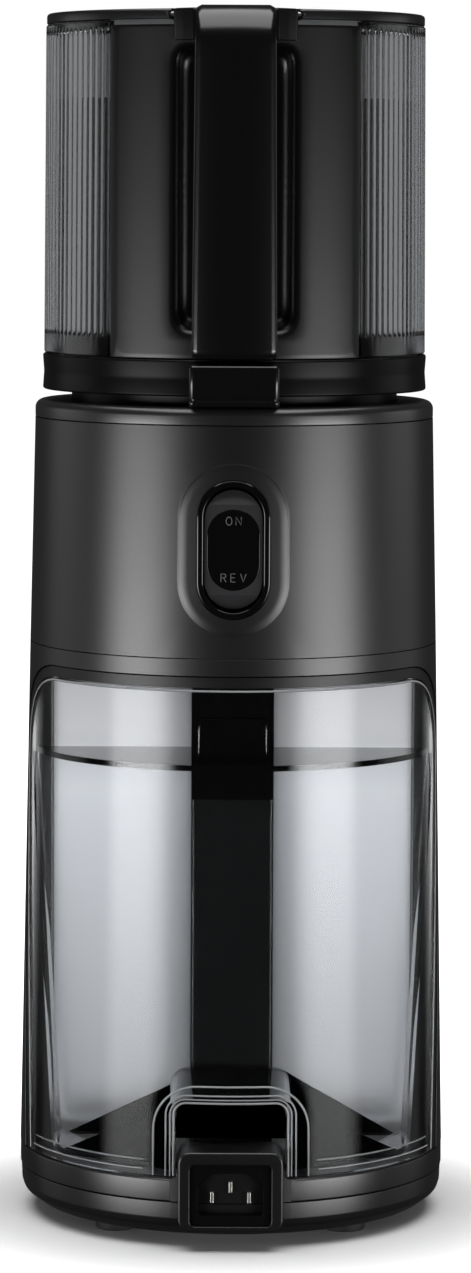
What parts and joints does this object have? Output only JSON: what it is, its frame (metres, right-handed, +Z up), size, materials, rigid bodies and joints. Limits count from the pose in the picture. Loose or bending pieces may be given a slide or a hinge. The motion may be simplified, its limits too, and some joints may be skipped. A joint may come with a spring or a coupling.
{
  "type": "cold press juicer",
  "caption": "Upright cold press juicer: arched clear containers in a round black body, fluted hopper with hinged lid and strap handle, rocker switch and mains inlet at the rear.",
  "frame": {"origin": "centre of the round body at the plane of the feet", "axes": "+Z up along the screw's axis, -Y towards the rear with the handle, switch and mains inlet, +X to the right when the rear is seen"},
  "size_m": [0.1656, 0.1771, 0.4655],
  "materials": {
    "body_plastic": "satin black moulding",
    "black_plastic": "satin black moulding",
    "frame_plastic": "black moulding",
    "top_plastic": "satin black moulding",
    "handle_plastic": "satin black moulding",
    "lid_plastic": "satin black moulding",
    "gloss_black": "polished black",
    "rocker_grey": "dark grey satin",
    "foot_rubber": "matt",
    "seal_silicone": "soft grey",
    "screw_steel": "zinc plated",
    "shaft_steel": "ground",
    "motor_steel": "grey lacquer",
    "pin_metal": "plated",
    "board_green": "lacquered board",
    "screw_plastic": "hard black moulding",
    "smoked_clear": "smoked clear moulding",
    "clear_container": "clear moulding"
  },
  "bodies": {
    "base": {"base_cover": "black_plastic", "base_ring": "black_plastic", "rubber_feet": "foot_rubber", "base_screws": "screw_steel", "inlet_housing": "black_plastic", "inlet_socket": "black_plastic", "inlet_pins": "pin_metal", "ceiling_plate": "frame_plastic", "divider": "frame_plastic", "pillars": "frame_plastic", "arch_trims": "frame_plastic", "lower_shell": "body_plastic", "body_shell": "body_plastic", "top_cover": "top_plastic", "pulp_duct": "frame_plastic", "juice_duct": "frame_plastic", "switch_bezel": "gloss_black", "switch_body": "black_plastic", "control_board": "board_green", "motor_can": "motor_steel", "gear_case": "frame_plastic", "gear_screws": "screw_steel", "shaft_bearing": "pin_metal", "shaft_seal": "seal_silicone"},
    "rocker": {"switch_rocker": "rocker_grey", "rocker_face": "gloss_black"},
    "output": {"output_shaft": "shaft_steel"},
    "container": {"pulp_container": "clear_container", "container_cover": "gloss_black"},
    "jug": {"juice_jug": "clear_container"},
    "head": {"drum": "gloss_black", "bowl_wall": "frame_plastic", "drum_seal": "seal_silicone", "strainer": "frame_plastic", "hopper": "smoked_clear", "rear_panel": "body_plastic", "hinge_shoulder": "body_plastic", "hinge_pin": "screw_steel", "handle_strap": "handle_plastic", "handle_block": "handle_plastic", "block_screws": "screw_steel"},
    "screw": {"screw": "screw_plastic"},
    "lid": {"lid": "lid_plastic", "lid_gasket": "seal_silicone"}
  },
  "joints": [
    {"name": "rocker_tilt", "type": "hinge", "parent": "base", "child": "rocker", "pos_m": [0, -0.07, 0.2643], "axis": [1, 0, 0], "range_deg": [-8, 8]},
    {"name": "output_spin", "type": "hinge", "parent": "base", "child": "output", "pos_m": [0, 0, 0.3], "axis": [0, 0, 1], "continuous": true},
    {"name": "container_slide", "type": "slide", "parent": "base", "child": "container", "axis": [0, -1, 0], "range_m": [0, 0.16]},
    {"name": "jug_slide", "type": "slide", "parent": "base", "child": "jug", "axis": [0, 1, 0], "range_m": [0, 0.16]},
    {"name": "head_lift", "type": "slide", "parent": "base", "child": "head", "axis": [0, 0, 1], "range_m": [0, 0.13]},
    {"name": "screw_spin", "type": "hinge", "parent": "head", "child": "screw", "pos_m": [0, 0, 0.35], "axis": [0, 0, 1], "continuous": true},
    {"name": "lid_hinge", "type": "hinge", "parent": "head", "child": "lid", "pos_m": [0, -0.067, 0.4624], "axis": [1, 0, 0], "range_deg": [0, 100]}
  ],
  "couplings": [
    {"joint": "output_spin", "follows": "screw_spin", "ratio": 1}
  ]
}
